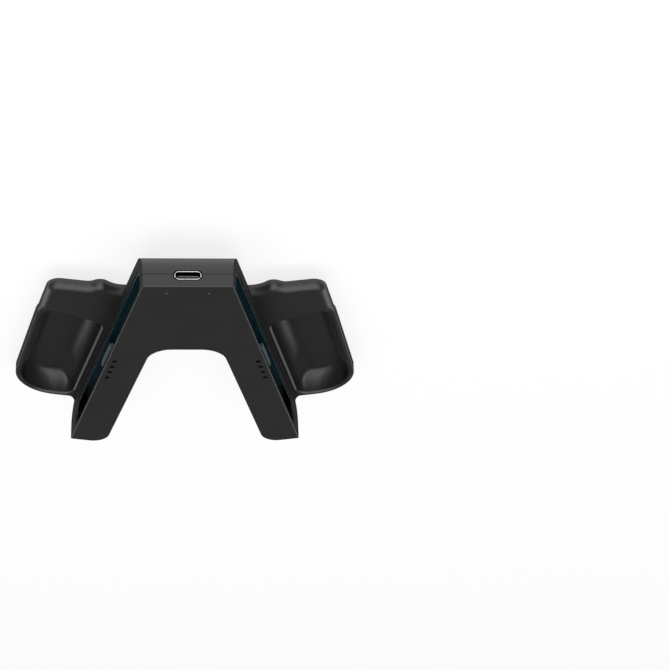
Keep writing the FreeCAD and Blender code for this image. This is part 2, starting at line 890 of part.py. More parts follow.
finish(
    group(
        [
            chip("control_chip", 0, d.control_chip_drop, "control_chip", "chip_height"),
            chip("charge_chip", -d.charge_chip_out, d.charge_chip_drop, "charge_chip",
                 "chip_height"),
            chip("coil", d.charge_chip_out, d.charge_chip_drop, "coil", "coil_height"),
        ],
        "board_chips",
    ),
    "board_chips",
)

# Charge lights on the board, each with a stepped light pipe to its pinhole
led = block(
    "right_charge_led", body_frame,
    (led_place[0] - d.led_length / 2, led_place[1] - d.led_width / 2, -board_front),
    ("sizes.led_length", "sizes.led_width", "sizes.led_height"),
)
pair(led, "charge_led")
pipe_foot = (*led_place, -board_front + d.led_height)
pipe_length = "sizes.port_depth + sizes.port_height / 2 - sizes.led_height"
pipe = join(
    rod("pipe_tip", body_frame, pipe_foot, "sizes.pipe_width", pipe_length),
    rod("pipe_flange", body_frame, pipe_foot, "sizes.pipe_flange", pipe_length + " - sizes.wall"),
    "right_led_pipe",
)
pair(pipe, "led_pipe")

# Charging port: a drawn metal shell, a plastic tongue and its contacts
shell = body_at("charge_port_shell", body_frame)
shell_profile = sketch(shell, "shell_outline", "XZ_Plane", Placement(), rounded(port_slot(0)))
pad(shell, "shell_block", shell_profile, "sizes.port_length", forward=True)
shell_hollow = sketch(
    shell, "shell_hollow", "XZ_Plane", Placement(), rounded(port_slot(-d.port_skin))
)
pocket(shell, "shell_inside", shell_hollow, "sizes.port_length - sizes.port_skin", forward=True)
finish(shell, "charge_port_shell")
port_end = d.port_length - d.port_skin
tongue = body_at("charge_port_tongue", body_frame)
tongue_base = sketch(
    tongue, "tongue_base", "XZ_Plane", Placement(Vector(0, 0, port_end), Rotation()),
    rounded(port_slot(-d.port_skin - d.port_fit)),
)
pad(tongue, "tongue_base_block", tongue_base, "sizes.port_back_wall")
tongue_blade = sketch(
    tongue, "tongue_blade", "XZ_Plane", Placement(Vector(0, 0, port_end), Rotation()),
    rounded(rectangle(0, -d.port_depth, d.port_tongue_width, d.port_tongue_height)),
)
pad(
    tongue, "tongue_blade_block", tongue_blade,
    "sizes.port_back_wall + sizes.port_tongue_length",
)
finish(tongue, "charge_port_tongue")
port_contacts = []
for face in (-1, 1):
    for i in range(PORT_CONTACT_COUNT):
        middle = d.port_contact_pitch * (i - (PORT_CONTACT_COUNT - 1) / 2)
        low = -d.port_depth + face * d.port_tongue_height / 2
        port_contacts.append(block(
            f"port_contact_{i}", body_frame,
            (middle - d.port_contact_width / 2, -port_end + d.port_back_wall,
             low - (d.port_contact_skin if face < 0 else 0)),
            ("sizes.port_contact_width", "sizes.port_contact_length",
             "sizes.port_contact_skin"),
        ))
finish(group(port_contacts, "charge_port_contacts"), "charge_port_contacts")

# Ribbon cables from the main board's edges to the side boards
side_board_top = d.plug_along - d.side_board_length / 2
ribbon_out = -slot_floor - d.side_board_thickness - d.ribbon_thickness / 2
ribbon_edge = (d.board_width + d.ribbon_thickness) / 2
ribbon_path = [
    (ribbon_edge, -d.ribbon_drop + d.ribbon_landing),
    (ribbon_edge, -d.ribbon_drop),
    on_leg(side_board_top + d.ribbon_inset, ribbon_out),
    on_leg(side_board_top + d.ribbon_inset + d.ribbon_overlap, ribbon_out),
]


def strip(path, thickness):
    """The closed outline of a strip of even thickness along a path."""
    banks = []
    for side in (-1, 1):
        lines = []
        for a, b in zip(path, path[1:]):
            length = math.hypot(b[0] - a[0], b[1] - a[1])
            shift_x = -side * (b[1] - a[1]) / length * thickness / 2
            shift_y = side * (b[0] - a[0]) / length * thickness / 2
            lines.append(((a[0] + shift_x, a[1] + shift_y), (b[0] + shift_x, b[1] + shift_y)))
        bank = [lines[0][0]]
        bank += [meet(*before, *after) for before, after in zip(lines, lines[1:])]
        bank.append(lines[-1][1])
        banks.append(bank)
    return [(x, y, 0) for x, y in banks[0] + banks[1][::-1]]


ribbon = body_at("right_ribbon_cable", body_frame)
ribbon_profile = sketch(
    ribbon, "ribbon_outline", "XY_Plane", behind(board_front),
    rounded(strip(ribbon_path, d.ribbon_thickness)),
)
pad(ribbon, "ribbon_strip", ribbon_profile, "sizes.ribbon_width")
pair(ribbon, "ribbon_cable")


# Screws: two for the board, six through the rear cover into the front cover's posts
def screw(name, place, seat, width, head_width, head_height, length):
    """A screw put in from the back, its head's underside at the seat's depth."""
    shank = rod(name + "_shank", body_frame, (*place, -seat), width, length)
    head = rod(
        name + "_head", body_frame, (*place, -seat - getattr(d, head_height)),
        f"sizes.{head_width}", f"sizes.{head_height}",
    )
    solid = join(shank, head, name + "_blank")
    end = -seat - getattr(d, head_height)
    across = block(
        name + "_across", body_frame,
        (place[0] - d.driver_length / 2, place[1] - d.driver_width / 2, end),
        ("sizes.driver_length", "sizes.driver_width", "sizes.driver_depth"),
    )
    upright = block(
        name + "_upright", body_frame,
        (place[0] - d.driver_width / 2, place[1] - d.driver_length / 2, end),
        ("sizes.driver_width", "sizes.driver_length", "sizes.driver_depth"),
    )
    return cut(solid, join(across, upright, name + "_cross"), name)


sides = (-1, 1)
board_screws = [
    screw(
        f"board_screw_{i}", (side * board_post[0], board_post[1]), board_back,
        "sizes.board_screw_width", "board_screw_head", "board_screw_head_height",
        "sizes.board_screw_length + sizes.board_thickness - sizes.fit",
    )
    for i, side in enumerate(sides)
]
finish(group(board_screws, "board_screws"), "board_screws")
cover_screws = [
    screw(
        f"cover_screw_{i}_{j}", (side * x, y), d.screw_seat,
        "sizes.screw_width", "screw_head_width", "screw_head_height",
        "sizes.screw_seat - sizes.screw_tip",
    )
    for i, (x, y) in enumerate(cover_posts)
    for j, side in enumerate(sides)
]
finish(group(cover_screws, "cover_screws"), "cover_screws")

# Every object has to be sound before anything is written
doc.recompute()
for item in doc.Objects:
    if "Invalid" in item.State or "Error" in item.State:
        raise RuntimeError(f"{item.Name} failed: {item.State}")
for part in finished:
    if part.Shape.isNull() or not part.Shape.isValid():
        raise RuntimeError(f"{part.Label} has no valid shape")
os.makedirs("parts", exist_ok=True)
for part in finished:
    part.Shape.exportStep(f"parts/{part.Label}.step")
    solids = part.Shape.Solids
    print(part.Label, len(solids), round(sum(solid.Volume for solid in solids), 1))
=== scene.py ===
"""Looks of the controller charging grip: covers, slots, charging port, inner pieces and studio.

Metres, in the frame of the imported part: +X right, +Y towards the charging port, +Z out of the front.
"""

import math

import bmesh
import bpy
from mathutils import Matrix, Vector


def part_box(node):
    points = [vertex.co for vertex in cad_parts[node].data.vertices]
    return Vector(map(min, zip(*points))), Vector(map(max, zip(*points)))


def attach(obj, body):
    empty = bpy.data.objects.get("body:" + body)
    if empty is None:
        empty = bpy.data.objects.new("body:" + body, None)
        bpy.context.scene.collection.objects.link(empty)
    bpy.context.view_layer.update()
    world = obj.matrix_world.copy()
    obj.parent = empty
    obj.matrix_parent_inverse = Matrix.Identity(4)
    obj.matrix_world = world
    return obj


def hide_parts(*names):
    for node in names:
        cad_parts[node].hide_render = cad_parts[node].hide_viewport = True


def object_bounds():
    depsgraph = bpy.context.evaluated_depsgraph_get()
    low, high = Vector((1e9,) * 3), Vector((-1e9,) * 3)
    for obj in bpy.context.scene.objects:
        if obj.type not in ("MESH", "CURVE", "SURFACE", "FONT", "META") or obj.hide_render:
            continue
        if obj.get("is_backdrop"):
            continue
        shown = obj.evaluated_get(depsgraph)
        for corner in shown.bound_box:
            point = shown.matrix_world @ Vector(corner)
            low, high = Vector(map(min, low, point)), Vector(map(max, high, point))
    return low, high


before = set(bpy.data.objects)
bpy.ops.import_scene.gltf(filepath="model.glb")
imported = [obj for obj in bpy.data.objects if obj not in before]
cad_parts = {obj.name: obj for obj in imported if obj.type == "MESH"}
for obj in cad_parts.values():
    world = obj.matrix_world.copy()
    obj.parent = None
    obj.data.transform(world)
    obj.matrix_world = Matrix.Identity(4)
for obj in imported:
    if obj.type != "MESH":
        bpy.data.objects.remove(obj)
cad_low, cad_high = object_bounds()
mm = 0.001


# Front cover
# The flat front half of the grip, injection moulded in black plastic with a fine eroded grain.
# Screws from behind pull it onto the rear cover along the parting line.
class Handle:
    """An output in a node tree. Operators add Math nodes, and make adds a node of any kind."""

    def __init__(self, tree, output=None):
        self.tree = tree
        self.output = output

    def make(self, kind, settings=None, sockets=None, output=0):
        """Add a node, set its settings, then fill or link its sockets."""
        node = self.tree.nodes.new(kind)
        for name, value in (settings or {}).items():
            setattr(node, name, value)
        for name, value in (sockets or {}).items():
            for item in value if isinstance(value, list) else [value]:
                if isinstance(item, Handle):
                    self.tree.links.new(item.output, node.inputs[name])
                else:
                    node.inputs[name].default_value = item
        return Handle(self.tree, node.outputs[output] if len(node.outputs) else None)

    def maths(self, operation, first, second):
        return self.make("ShaderNodeMath", {"operation": operation}, {0: first, 1: second})

    def __add__(self, other):
        return self.maths("ADD", self, other)

    def __sub__(self, other):
        return self.maths("SUBTRACT", self, other)

    def __rsub__(self, other):
        return self.maths("SUBTRACT", other, self)

    def __mul__(self, other):
        return self.maths("MULTIPLY", self, other)

    def __gt__(self, other):
        return self.maths("GREATER_THAN", self, other)

    def __lt__(self, other):
        return self.maths("LESS_THAN", self, other)

    __radd__ = __add__
    __rmul__ = __mul__


def bare_material(name):
    """A material with an empty tree, and a handle on that tree."""
    made = bpy.data.materials.new(name)
    made.use_nodes = True
    made.node_tree.nodes.clear()
    return made, Handle(made.node_tree)


def surface(tree, sockets):
    """A Principled surface wired to the material's output."""
    shader = tree.make("ShaderNodeBsdfPrincipled", {}, sockets)
    tree.make("ShaderNodeOutputMaterial", {}, {"Surface": shader})


def moulded_plastic(
    name, dark, light, roughness, grain, pit, edge, gloss=0.5, painted_shade_span=None, matt_sides=0.0
):
    """Moulded plastic: eroded grain, clouds in its colour, eased edges, and less shine seen along it.

    Two places along Y may be given between which the colour comes up from black; that darkening is
    painted shade.
    Matt sides are the share of a dead matt texture on walls that face right or left.
    """
    cloud_size = 60 * grain
    dulling_steepness = 11.0
    dulling = 3.0
    slanted_wall = 0.8
    full_wall = 0.94
    black = (0.001, 0.001, 0.001, 1)
    made, tree = bare_material(name)
    place = tree.make("ShaderNodeTexCoord", output="Object")
    pits = tree.make("ShaderNodeTexNoise", {}, {"Vector": place, "Scale": 1 / grain, "Detail": 3.0})
    clouds = tree.make("ShaderNodeTexNoise", {}, {"Vector": place, "Scale": 1 / cloud_size})
    tone = tree.make("ShaderNodeMix", {"data_type": "RGBA"}, {0: clouds, 6: dark, 7: light}, output=2)
    # Painted shade: along Y the colour is painted down to black.
    if painted_shade_span:
        along = tree.make("ShaderNodeSeparateXYZ", {}, {"Vector": place}, output="Y")
        kept = tree.make("ShaderNodeMapRange", {"interpolation_type": "SMOOTHSTEP"}, {
            "Value": along, "From Min": painted_shade_span[0], "From Max": painted_shade_span[1],
        })
        tone = tree.make("ShaderNodeMix", {"data_type": "RGBA"}, {0: kept, 6: black, 7: tone}, output=2)
    eased = tree.make("ShaderNodeBevel", {"samples": 6}, {"Radius": edge})
    relief = tree.make("ShaderNodeBump", {}, {"Height": pits, "Distance": pit, "Normal": eased})
    slant = tree.make("ShaderNodeLayerWeight", {}, {"Blend": 0.5}, output="Facing")
    dulled = tree.maths("POWER", slant, dulling_steepness) * dulling
    skin = tree.make("ShaderNodeBsdfPrincipled", {}, {
        "Base Color": tone,
        "Roughness": roughness * (0.84 + pits * 0.2 + clouds * 0.12) + dulled,
        "Specular IOR Level": gloss,
        "Normal": relief,
    })
    if matt_sides:
        sideways = tree.make("ShaderNodeAttribute", {"attribute_name": "sideways"}, output="Fac")
        wall = tree.make("ShaderNodeMapRange", {"interpolation_type": "SMOOTHSTEP"}, {
            "Value": sideways, "From Min": slanted_wall, "From Max": full_wall,
        })
        matt = tree.make("ShaderNodeBsdfPrincipled", {}, {
            "Base Color": tone, "Roughness": 1.0, "Specular IOR Level": 0.05,
        })
        skin = tree.make("ShaderNodeMixShader", {}, {0: wall * matt_sides, 1: skin, 2: matt})
    tree.make("ShaderNodeOutputMaterial", {}, {"Surface": skin})
    return made


def smooth(mesh):
    """Smooth shading with edges kept where two faces really meet at an angle."""
    crease = math.radians(25)
    mesh.polygons.foreach_set("use_smooth", [True] * len(mesh.polygons))
    mesh.set_sharp_from_angle(angle=crease)


def place_piece(name, mesh, nodes):
    """Put a finished mesh on the part's body in the stead of these CAD nodes."""
    piece = bpy.data.objects.new(name, mesh)
    bpy.context.scene.collection.objects.link(piece)
    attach(piece, "root")
    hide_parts(*nodes)
    return piece


touching = 0.001 * mm
level = 0.01 * mm


def moulding(node, finish, shape=None):
    """The CAD node's own form as one closed skin, with fine forms added by a shaping function.

    Each corner keeps how far it faces right or left, for the matt sides of its finish.
    """
    same_plane = math.radians(0.2)
    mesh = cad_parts[node].data.copy()
    normals = mesh.attributes.get("custom_normal")
    if normals:
        mesh.attributes.remove(normals)
    work = bmesh.new()
    work.from_mesh(mesh)
    bmesh.ops.remove_doubles(work, verts=work.verts, dist=touching)
    bmesh.ops.dissolve_limit(work, angle_limit=same_plane, verts=work.verts, edges=work.edges)
    if shape:
        shape(work)
    work.to_mesh(mesh)
    work.free()
    smooth(mesh)
    sideways = mesh.attributes.new("sideways", "FLOAT", "CORNER")
    sideways.data.foreach_set("value", [abs(normal.vector.x) for normal in mesh.corner_normals])
    mesh.materials.clear()
    mesh.materials.append(finish)
    piece = place_piece(node + "_moulding", mesh, [node])
    shading = piece.modifiers.new("flat_faces", "WEIGHTED_NORMAL")
    shading.keep_sharp = True


def shadow_gap(work):
    """Undercut the front cover where it meets the rear one, so that the parting line shows dark."""
    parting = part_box("rear_cover")[1].z
    gap_height = 0.2 * mm
    gap_depth = 0.35 * mm
    bmesh.ops.bisect_plane(
        work, geom=[*work.verts, *work.edges, *work.faces], dist=touching,
        plane_co=(0, 0, parting + gap_height), plane_no=(0, 0, 1),
    )
    work.normal_update()
    moves = {}
    for vert in work.verts:
        if abs(vert.co.z - parting) > level:
            continue
        walls = []
        for face in vert.link_faces:
            if abs(face.normal.z) < 0.5 and all(face.normal.dot(wall) < 0.9 for wall in walls):
                walls.append(face.normal.copy())
        if walls:
            lean = sum(walls, Vector())
            moves[vert] = lean * (-gap_depth / max(lean.dot(walls[0]), 0.5))
    for vert, move in moves.items():
        vert.co += move


black_plastic = moulded_plastic(
    "black_plastic", dark=(0.009, 0.009, 0.0098, 1), light=(0.013, 0.013, 0.0138, 1), roughness=0.42,
    grain=0.16 * mm, pit=0.003 * mm, edge=0.12 * mm, gloss=0.8, matt_sides=0.7,
)
moulding("front_cover", black_plastic, shadow_gap)


# Player light guides
# One smoked clear bar behind each row of four holes, with a stud that fills each hole.
# Moulded in one piece and pressed onto the side of the rail.
def flush_studs(work):
    """Lengthen the studs until they end just below the front face."""
    recess = 0.12 * mm
    end_depth = 0.05 * mm
    tip = max(vert.co.z for vert in work.verts)
    for vert in work.verts:
        if vert.co.z > tip - end_depth:
            vert.co.z = cad_high.z - recess


smoked_plastic = moulded_plastic(
    "smoked_plastic", dark=(0.0015, 0.0015, 0.002, 1), light=(0.0025, 0.0025, 0.003, 1), roughness=0.6,
    grain=0.3 * mm, pit=0.001 * mm, edge=0.1 * mm, gloss=0.05,
)
for side in ("right", "left"):
    moulding(side + "_player_light_guide", smoked_plastic, flush_studs)


# Charge light pipes
# A milky stud in each pinhole of the front, with a flange that stops it falling through.
# Turned here as one profile; the tip is a low dome, flush with the front face.
def solids_of(node):
    """The corner points of each separate solid in a CAD node."""
    work = bmesh.new()
    work.from_mesh(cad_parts[node].data)
    bmesh.ops.remove_doubles(work, verts=work.verts, dist=touching)
    found = []
    seen = set()
    for vert in work.verts:
        if vert in seen:
            continue
        seen.add(vert)
        waiting = [vert]
        points = []
        while waiting:
            here = waiting.pop()
            points.append(here.co.copy())
            for edge in here.link_edges:
                other = edge.other_vert(here)
                if other not in seen:
                    seen.add(other)
                    waiting.append(other)
        found.append(points)
    work.free()
    return found


def extent(points):
    """Lowest and highest corner of some points."""
    low = Vector(min(p[i] for p in points) for i in range(3))
    high = Vector(max(p[i] for p in points) for i in range(3))
    return low, high


def turned(mesh_name, profile, centre, steps):
    """A lathe-turned solid: (radius, height) pairs from one pole to the other, about +Z."""
    work = bmesh.new()
    rings = []
    for radius, height in profile:
        if radius == 0:
            rings.append([work.verts.new((centre.x, centre.y, height))])
            continue
        rings.append([
            work.verts.new((
                centre.x + radius * math.cos(2 * math.pi * i / steps),
                centre.y + radius * math.sin(2 * math.pi * i / steps),
                height,
            ))
            for i in range(steps)
        ])
    for lower, upper in zip(rings, rings[1:]):
        for i in range(steps):
            j = (i + 1) % steps
            corners = [lower[i % len(lower)], lower[j % len(lower)],
                       upper[j % len(upper)], upper[i % len(upper)]]
            work.faces.new(dict.fromkeys(corners))
    bmesh.ops.recalc_face_normals(work, faces=work.faces)
    mesh = bpy.data.meshes.new(mesh_name)
    work.to_mesh(mesh)
    work.free()
    smooth(mesh)
    return mesh


pipe_radius = 0.5 * mm
pipe_dome = 0.12 * mm
flange_height = 0.6 * mm
pipe_steps = 24
dome_steps = 4
milky_plastic = moulded_plastic(
    "milky_plastic", dark=(0.08, 0.08, 0.083, 1), light=(0.12, 0.12, 0.124, 1), roughness=0.35,
    grain=0.4 * mm, pit=0.002 * mm, edge=0.1 * mm,
)
for side in ("right", "left"):
    node = side + "_led_pipe"
    low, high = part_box(node)
    flange_radius = (high.x - low.x) / 2
    dome = [
        (pipe_radius * math.cos(math.pi / 2 * i / dome_steps),
         high.z - pipe_dome + pipe_dome * math.sin(math.pi / 2 * i / dome_steps))
        for i in range(dome_steps)
    ]
    profile = [
        (0, low.z),
        (flange_radius, low.z),
        (flange_radius, low.z + flange_height),
        (pipe_radius, low.z + flange_height),
        *dome,
        (0, high.z),
    ]
    mesh = turned(node + "_stud", profile, (low + high) / 2, pipe_steps)
    mesh.materials.append(milky_plastic)
    place_piece(mesh.name, mesh, [node])


# Main board and side boards
# Glass-fibre boards under green solder mask, with copper tracks showing faintly through it.
# The main board is screwed to two posts of the front cover; a side board backs each connector.
def dress(node, finish):
    """Give a CAD node that keeps its own form its finish."""
    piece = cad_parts[node]
    piece.data.materials.clear()
    piece.data.materials.append(finish)


def solder_mask(name):
    """Green mask over copper tracks that branch on a fine grid."""
    track_pitch = 2.4 * mm
    track_share = 0.07
    weave_pitch = 0.4 * mm
    track_height = 0.02 * mm
    made, tree = bare_material(name)
    place = tree.make("ShaderNodeTexCoord", output="Object")
    cells = tree.make(
        "ShaderNodeTexVoronoi", {"feature": "DISTANCE_TO_EDGE"},
        {"Vector": place, "Scale": 1 / track_pitch},
    )
    track = cells < track_share
    weave = tree.make("ShaderNodeTexNoise", {}, {"Vector": place, "Scale": 1 / weave_pitch})
    tone = tree.make(
        "ShaderNodeMix", {"data_type": "RGBA"},
        {0: track, 6: (0.008, 0.075, 0.028, 1), 7: (0.016, 0.13, 0.05, 1)}, output=2,
    )
    relief = tree.make("ShaderNodeBump", {}, {"Height": track + weave * 0.3, "Distance": track_height})
    surface(tree, {"Base Color": tone, "Roughness": 0.32 + weave * 0.12, "Normal": relief})
    return made


board_mask = solder_mask("board_mask")
for node in ("main_board", "right_side_board", "left_side_board"):
    dress(node, board_mask)


# Chips and coil
# Black epoxy packages soldered to the back of the main board, with a fine matt moulding skin.
# They stay plain blocks, as the real ones are.
chip_epoxy = moulded_plastic(
    "chip_epoxy", dark=(0.018, 0.018, 0.02, 1), light=(0.03, 0.03, 0.032, 1), roughness=0.6,
    grain=0.08 * mm, pit=0.004 * mm, edge=0.1 * mm,
)
dress("board_chips", chip_epoxy)


# Charge lights
# Two small white lamps on the main board, each under its light pipe.
# A pale ceramic body with patches of yellowish phosphor.
def phosphor_lamp(name, lamp_width):
    """Pale ceramic with patches of phosphor, several across each lamp."""
    made, tree = bare_material(name)
    place = tree.make("ShaderNodeTexCoord", output="Object")
    speckle = tree.make("ShaderNodeTexNoise", {}, {"Vector": place, "Scale": 8 / lamp_width})
    tone = tree.make(
        "ShaderNodeMix", {"data_type": "RGBA"},
        {0: speckle > 0.5, 6: (0.75, 0.73, 0.68, 1), 7: (0.72, 0.6, 0.2, 1)}, output=2,
    )
    surface(tree, {"Base Color": tone, "Roughness": 0.4 + speckle * 0.2})
    return made


lamp_body = phosphor_lamp("lamp_body", lamp_width=0.8 * mm)
for side in ("right", "left"):
    dress(side + "_charge_led", lamp_body)


# Charging port
# A seamless steel shell with a rolled mouth round a black tongue, soldered to the main board.
# The mouth sits flush in the port end, with a narrow dark gap all round it.
def slot_ring(half_width, half_height, grow, arc_steps):
    """Points (x, z) round a slot with fully rounded ends, grown outwards all round."""
    radius = half_height + grow
    straight = half_width - half_height
    points = []
    for centre, start in ((straight, -90), (-straight, 90)):
        for i in range(arc_steps + 1):
            angle = math.radians(start + 180 * i / arc_steps)
            points.append((centre + radius * math.cos(angle), radius * math.sin(angle)))
    return points


def brushed_metal(name, colour, roughness, scratch, painted_shade_until=None):
    """Plated metal: faint drawn lines, with clouds of duller plating.

    Where it is bright only from a place along Y, painted shade darkens its colour up to there.
    """
    cloud_size = 20 * scratch
    line_stretch = 12.0
    line_depth = 0.001 * mm
    painted_shade_edge = 0.2 * mm
    painted_shade_tone = (0.02, 0.02, 0.022, 1)
    made, tree = bare_material(name)
    place = tree.make("ShaderNodeTexCoord", output="Object")
    stretched = tree.make(
        "ShaderNodeMapping", {}, {"Vector": place, "Scale": (1.0, 1.0, line_stretch)}
    )
    lines = tree.make(
        "ShaderNodeTexNoise", {}, {"Vector": stretched, "Scale": 1 / scratch, "Detail": 2.0}
    )
    clouds = tree.make("ShaderNodeTexNoise", {}, {"Vector": place, "Scale": 1 / cloud_size})
    dull = tuple(0.8 * value for value in colour[:3]) + (1,)
    tone = tree.make("ShaderNodeMix", {"data_type": "RGBA"}, {0: clouds, 6: dull, 7: colour}, output=2)
    if painted_shade_until is not None:
        along = tree.make("ShaderNodeSeparateXYZ", {}, {"Vector": place}, output="Y")
        out_of_painted_shade = tree.make("ShaderNodeMapRange", {"interpolation_type": "SMOOTHSTEP"}, {
            "Value": along, "From Min": painted_shade_until - painted_shade_edge, "From Max": painted_shade_until,
        })
        tone = tree.make(
            "ShaderNodeMix", {"data_type": "RGBA"}, {0: out_of_painted_shade, 6: painted_shade_tone, 7: tone}, output=2
        )
    relief = tree.make("ShaderNodeBump", {}, {"Height": lines, "Distance": line_depth})
    surface(tree, {
        "Base Color": tone,
        "Metallic": 1.0,
        "Roughness": roughness + (lines - 0.5) * 0.1,
        "Normal": relief,
    })
    return made


def tongue_plastic(name, tip, middle, plate):
    """Black nylon whose tip shows the bare edge of the steel plate inside it."""
    grain_size = 0.1 * mm
    made, tree = bare_material(name)
    place = tree.make("ShaderNodeTexCoord", output="Object")
    along = tree.make("ShaderNodeSeparateXYZ", {}, {"Vector": place}, output="Y")
    height = tree.make("ShaderNodeSeparateXYZ", {}, {"Vector": place}, output="Z")
    bare = (along > tip) * (height > middle - plate / 2) * (height < middle + plate / 2)
    grain = tree.make("ShaderNodeTexNoise", {}, {"Vector": place, "Scale": 1 / grain_size})
    tone = tree.make(
        "ShaderNodeMix", {"data_type": "RGBA"},
        {0: bare, 6: (0.008, 0.008, 0.009, 1), 7: (0.2, 0.2, 0.205, 1)}, output=2,
    )
    surface(tree, {"Base Color": tone, "Roughness": 0.42 + grain * 0.16})
    return made


port_low, port_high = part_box("charge_port_shell")
port_middle = (port_low + port_high) / 2
half_width = (port_high.x - port_low.x) / 2
half_height = (port_high.z - port_low.z) / 2
shell_skin = 0.28 * mm
lip = 0.36 * mm
lip_length = 0.6 * mm
shade_free_depth = 0.2 * mm
arc_steps = 12
mouth = port_high.y
shell_profile = [
    (port_low.y, -shell_skin),
    (port_low.y, 0),
    (mouth - 0.5 * lip, 0),
    (mouth - 0.2 * lip, -0.08 * lip),
    (mouth, -0.35 * lip),
    (mouth, -0.65 * lip),
    (mouth - 0.2 * lip, -0.92 * lip),
    (mouth - 0.5 * lip, -lip),
    (mouth - lip_length, -shell_skin),
]
work = bmesh.new()
rings = []
for y, grow in shell_profile:
    outline = slot_ring(half_width, half_height, grow, arc_steps)
    rings.append([work.verts.new((x, y, port_middle.z + z)) for x, z in outline])
for ring, following in zip(rings, rings[1:] + rings[:1]):
    count = len(ring)
    for i in range(count):
        work.faces.new((ring[i], ring[(i + 1) % count], following[(i + 1) % count], following[i]))
bmesh.ops.recalc_face_normals(work, faces=work.faces)
shell = bpy.data.meshes.new("charge_port_rolled_shell")
work.to_mesh(shell)
work.free()
smooth(shell)
# Past a short depth inside the mouth the shell's steel is painted dark: painted shade for the inside of
# the port.
bright_steel = brushed_metal(
    "bright_steel", (0.72, 0.73, 0.75, 1), roughness=0.22, scratch=0.2 * mm,
    painted_shade_until=mouth - shade_free_depth,
)
shell.materials.append(bright_steel)
place_piece(shell.name, shell, ["charge_port_shell"])

bare_depth = 0.1 * mm
plate_thickness = 0.3 * mm
bare_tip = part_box("charge_port_tongue")[1].y - bare_depth
black_nylon = tongue_plastic("tongue_plastic", bare_tip, port_middle.z, plate_thickness)
moulding("charge_port_tongue", black_nylon)


# Port contacts
# Twelve gold-plated strips on each face of the port's tongue, moulded in with their faces bare.
# They are flat; the same pattern gives the connectors' strips a low rounded crown.
def pattern(name, sizes):
    """An empty Geometry Nodes tree with a named input for each size, and handles on its inputs."""
    tree = bpy.data.node_groups.new(name, "GeometryNodeTree")
    tree.interface.new_socket("Places", in_out="INPUT", socket_type="NodeSocketGeometry")
    for size in sizes:
        tree.interface.new_socket(size, in_out="INPUT", socket_type="NodeSocketFloat")
    tree.interface.new_socket("Geometry", in_out="OUTPUT", socket_type="NodeSocketGeometry")
    entry = tree.nodes.new("NodeGroupInput")
    handle = Handle(tree)
    return handle, {socket.name: Handle(tree, socket) for socket in entry.outputs if socket.name}


def repeat_at(tree, places, unit, finish, turn=None):
    """End a tree: the unit at every place, made real, in its material."""
    sockets = {"Points": places, "Instance": unit}
    if turn is not None:
        sockets["Rotation"] = tree.make("ShaderNodeCombineXYZ", {}, {"Z": turn})
    copies = tree.make("GeometryNodeInstanceOnPoints", {}, sockets)
    real = tree.make("GeometryNodeRealizeInstances", {}, {"Geometry": copies})
    coated = tree.make("GeometryNodeSetMaterial", {}, {"Geometry": real, "Material": finish})
    tree.make("NodeGroupOutput", {}, {"Geometry": coated})


def grown(name, tree, places, sizes):
    """The plain mesh that a Geometry Nodes tree makes on these places."""
    seed = bpy.data.meshes.new(name + "_places")
    seed.from_pydata(places, [], [])
    carrier = bpy.data.objects.new(name, seed)
    bpy.context.scene.collection.objects.link(carrier)
    modifier = carrier.modifiers.new(name, "NODES")
    modifier.node_group = tree
    for item in tree.interface.items_tree:
        if item.in_out == "INPUT" and item.name in sizes:
            modifier[item.identifier] = sizes[item.name]
    settled = carrier.evaluated_get(bpy.context.evaluated_depsgraph_get())
    mesh = bpy.data.meshes.new_from_object(settled)
    bpy.data.objects.remove(carrier)
    smooth(mesh)
    return mesh


def contact_pattern(name, finish):
    """A strip with a rounded crown across its middle, at every place."""
    tree, sizes = pattern(name, ["Width", "Length", "Height", "Crown", "Turn"])
    strip = tree.make("GeometryNodeMeshCube", {}, {"Size": tree.make(
        "ShaderNodeCombineXYZ", {}, {"X": sizes["Width"], "Y": sizes["Length"], "Z": sizes["Height"]}
    )})
    bar = tree.make("GeometryNodeMeshCylinder", {}, {
        "Vertices": 16, "Radius": sizes["Height"] * 0.5 + sizes["Crown"], "Depth": sizes["Width"],
    })
    crown = tree.make("GeometryNodeTransform", {}, {
        "Geometry": bar, "Rotation": (0, math.pi / 2, 0),
    })
    unit = tree.make("GeometryNodeMeshBoolean", {"operation": "UNION"}, {"Mesh 2": [strip, crown]})
    repeat_at(tree, sizes["Places"], unit, finish, sizes["Turn"])
    return tree.tree


gold_plate = brushed_metal("gold_plate", (0.83, 0.6, 0.25, 1), roughness=0.25, scratch=0.1 * mm)
contact_strip = contact_pattern("contact_strip", gold_plate)
port_strips = [extent(points) for points in solids_of("charge_port_contacts")]
strip_size = port_strips[0][1] - port_strips[0][0]
mesh = grown(
    "charge_port_gold_strips", contact_strip, [(low + high) / 2 for low, high in port_strips],
    {"Width": strip_size.x, "Length": strip_size.y, "Height": strip_size.z, "Crown": 0.0},
)
place_piece(mesh.name, mesh, ["charge_port_contacts"])


